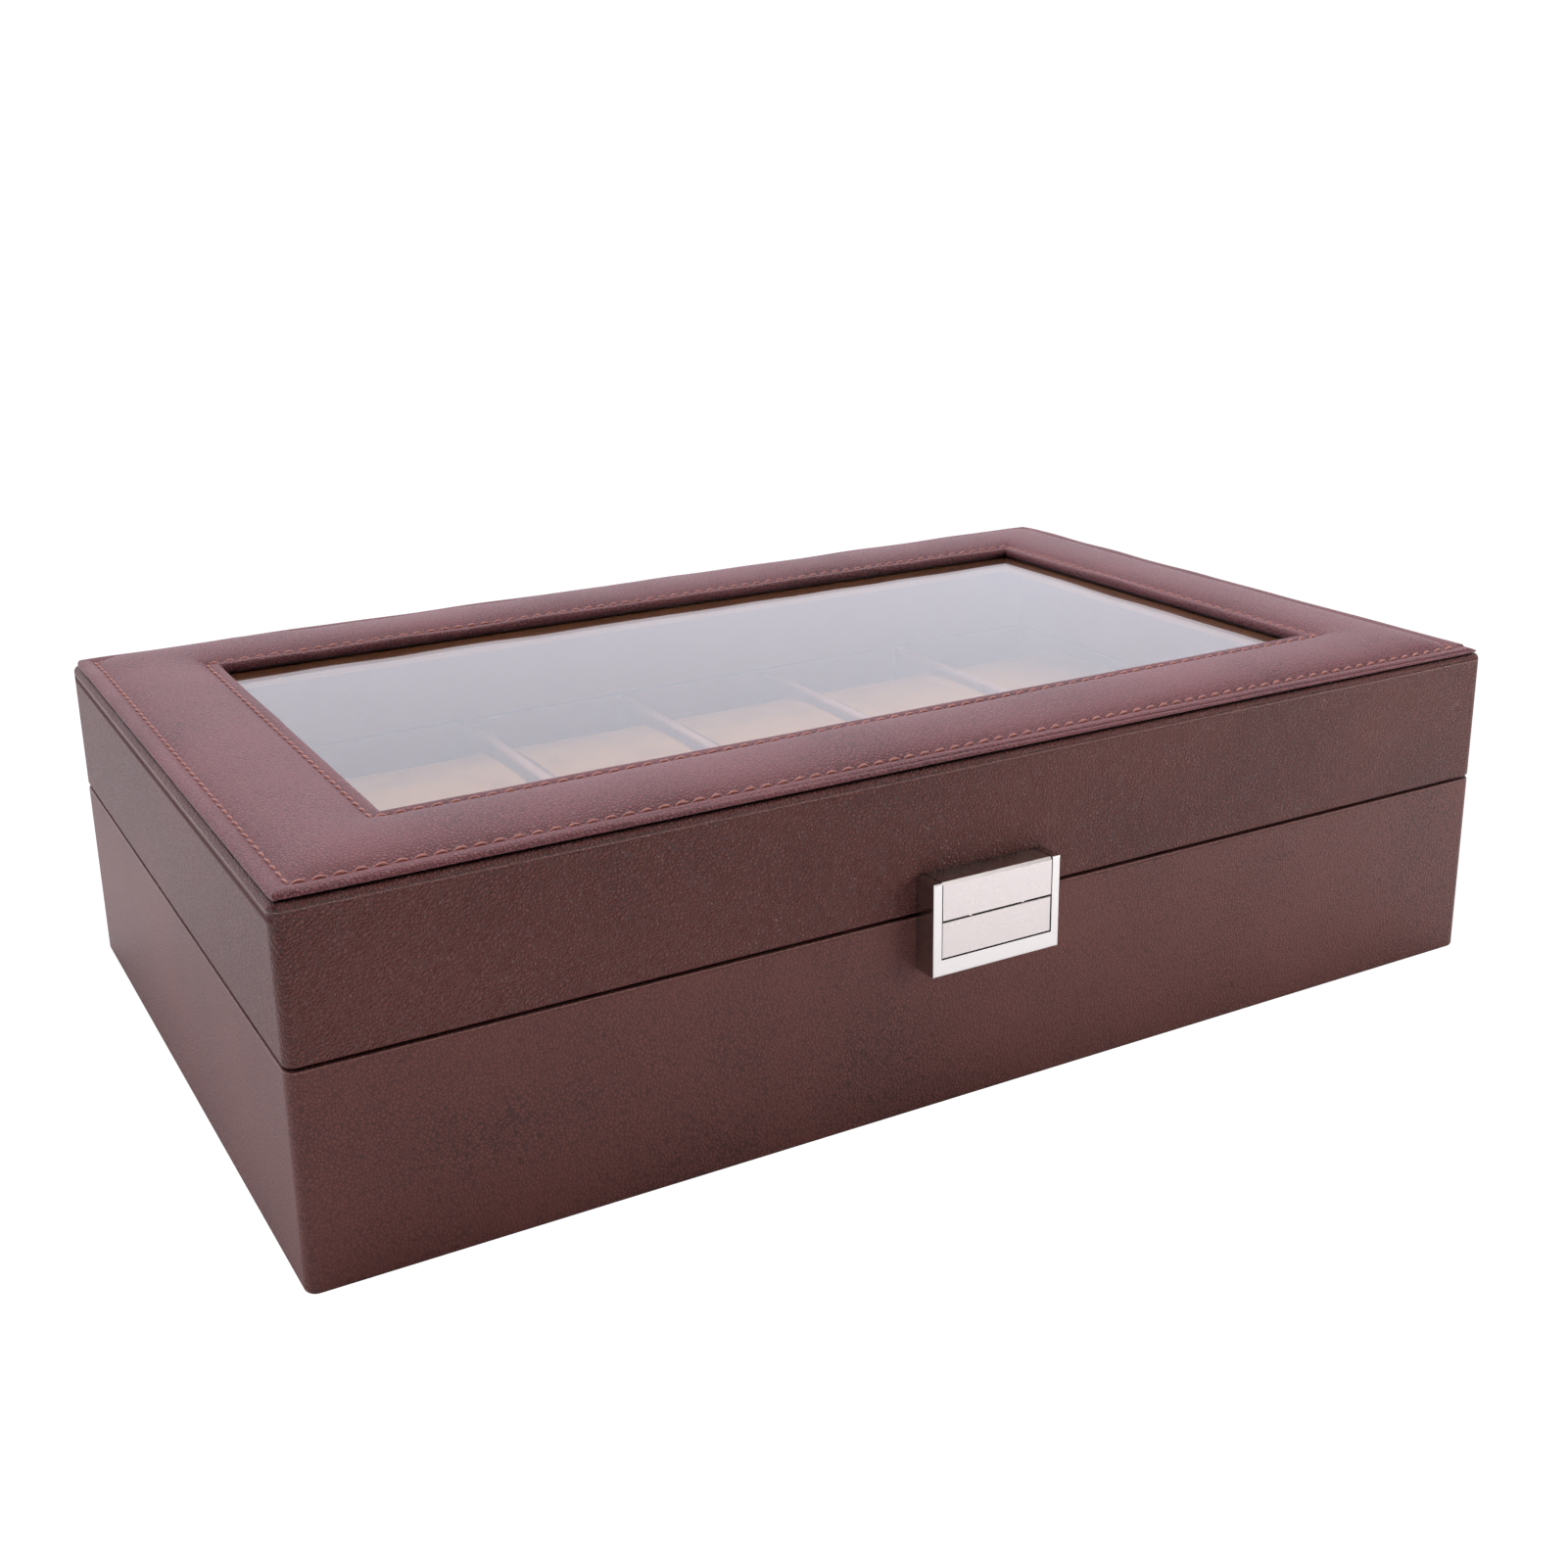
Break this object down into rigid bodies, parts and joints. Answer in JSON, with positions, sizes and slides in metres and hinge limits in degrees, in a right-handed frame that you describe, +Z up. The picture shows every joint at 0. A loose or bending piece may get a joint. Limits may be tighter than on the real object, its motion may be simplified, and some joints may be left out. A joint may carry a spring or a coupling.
{
  "type": "watch box",
  "caption": "Leather-covered watch box with a hinged lid that has a glass window in a padded, stitched border, a push-button clasp and lift-out velvet cushions.",
  "frame": {"origin": "centre of the felt underside that the box stands on, midway between the outer faces of its walls", "axes": "+X along the width, from left to right as seen from the front; the clasp's face looks along -Y; +Z up"},
  "size_m": [0.3, 0.197, 0.0822],
  "materials": {
    "brown_leather": "fine-grained, satin",
    "fibreboard": "raw fibreboard",
    "grey_card": "grey card",
    "foam": "open foam",
    "dark_felt": "felt",
    "tan_velvet": "velvet on card",
    "cushion_velvet": "velvet",
    "clear_glass": "clear",
    "nickel_steel": "nickel plated, satin",
    "screw_steel": "plated",
    "spring_steel": "drawn wire"
  },
  "bodies": {
    "base": {"base_front_panel": "fibreboard", "base_back_panel": "fibreboard", "base_left_panel": "fibreboard", "base_right_panel": "fibreboard", "base_bottom_panel": "fibreboard", "base_leather_wrap": "brown_leather", "base_felt": "dark_felt", "base_floor_lining": "tan_velvet", "base_lining_front": "tan_velvet", "base_lining_back": "tan_velvet", "base_lining_left": "tan_velvet", "base_lining_right": "tan_velvet", "long_divider": "tan_velvet", "short_divider_1": "tan_velvet", "short_divider_2": "tan_velvet", "short_divider_3": "tan_velvet", "short_divider_4": "tan_velvet", "short_divider_5": "tan_velvet", "clasp_frame": "nickel_steel", "clasp_screws": "screw_steel", "button_spring": "spring_steel", "hinge_base_leaf_left": "nickel_steel", "hinge_base_leaf_right": "nickel_steel", "hinge_pin_left": "nickel_steel", "hinge_pin_right": "nickel_steel", "hinge_base_screws": "screw_steel"},
    "lid": {"lid_front_panel": "fibreboard", "lid_back_panel": "fibreboard", "lid_left_panel": "fibreboard", "lid_right_panel": "fibreboard", "lid_top_board": "fibreboard", "lid_leather_wrap": "brown_leather", "lid_lining_front": "tan_velvet", "lid_lining_back": "tan_velvet", "lid_lining_left": "tan_velvet", "lid_lining_right": "tan_velvet", "lid_ceiling_lining": "tan_velvet", "glass_pane": "clear_glass", "pad_card_frame": "grey_card", "pad_foam": "foam", "pad_leather_cover": "brown_leather", "clasp_keeper": "nickel_steel", "keeper_screws": "screw_steel", "hinge_lid_leaf_left": "nickel_steel", "hinge_lid_leaf_right": "nickel_steel", "hinge_lid_screws": "screw_steel"},
    "press_button": {"clasp_button": "nickel_steel"},
    "cushion_01": {"watch_cushion_01": "cushion_velvet"},
    "cushion_02": {"watch_cushion_02": "cushion_velvet"},
    "cushion_03": {"watch_cushion_03": "cushion_velvet"},
    "cushion_04": {"watch_cushion_04": "cushion_velvet"},
    "cushion_05": {"watch_cushion_05": "cushion_velvet"},
    "cushion_06": {"watch_cushion_06": "cushion_velvet"},
    "cushion_07": {"watch_cushion_07": "cushion_velvet"},
    "cushion_08": {"watch_cushion_08": "cushion_velvet"},
    "cushion_09": {"watch_cushion_09": "cushion_velvet"},
    "cushion_10": {"watch_cushion_10": "cushion_velvet"},
    "cushion_11": {"watch_cushion_11": "cushion_velvet"},
    "cushion_12": {"watch_cushion_12": "cushion_velvet"}
  },
  "joints": [
    {"name": "lid_hinge", "type": "hinge", "parent": "base", "child": "lid", "pos_m": [0, 0.0944, 0.0463], "axis": [-1, 0, 0], "range_deg": [0, 95]},
    {"name": "button_press", "type": "slide", "parent": "base", "child": "press_button", "axis": [0, 1, 0], "range_m": [0, 0.0012], "stiffness_N_per_m": 400, "springref_m": -0.002, "deforming": ["button_spring"]},
    {"name": "cushion_lift_01", "type": "slide", "parent": "base", "child": "cushion_01", "axis": [0, 0, 1], "range_m": [0, 0.027]},
    {"name": "cushion_lift_02", "type": "slide", "parent": "base", "child": "cushion_02", "axis": [0, 0, 1], "range_m": [0, 0.027]},
    {"name": "cushion_lift_03", "type": "slide", "parent": "base", "child": "cushion_03", "axis": [0, 0, 1], "range_m": [0, 0.027]},
    {"name": "cushion_lift_04", "type": "slide", "parent": "base", "child": "cushion_04", "axis": [0, 0, 1], "range_m": [0, 0.027]},
    {"name": "cushion_lift_05", "type": "slide", "parent": "base", "child": "cushion_05", "axis": [0, 0, 1], "range_m": [0, 0.027]},
    {"name": "cushion_lift_06", "type": "slide", "parent": "base", "child": "cushion_06", "axis": [0, 0, 1], "range_m": [0, 0.027]},
    {"name": "cushion_lift_07", "type": "slide", "parent": "base", "child": "cushion_07", "axis": [0, 0, 1], "range_m": [0, 0.027]},
    {"name": "cushion_lift_08", "type": "slide", "parent": "base", "child": "cushion_08", "axis": [0, 0, 1], "range_m": [0, 0.027]},
    {"name": "cushion_lift_09", "type": "slide", "parent": "base", "child": "cushion_09", "axis": [0, 0, 1], "range_m": [0, 0.027]},
    {"name": "cushion_lift_10", "type": "slide", "parent": "base", "child": "cushion_10", "axis": [0, 0, 1], "range_m": [0, 0.027]},
    {"name": "cushion_lift_11", "type": "slide", "parent": "base", "child": "cushion_11", "axis": [0, 0, 1], "range_m": [0, 0.027]},
    {"name": "cushion_lift_12", "type": "slide", "parent": "base", "child": "cushion_12", "axis": [0, 0, 1], "range_m": [0, 0.027]}
  ]
}
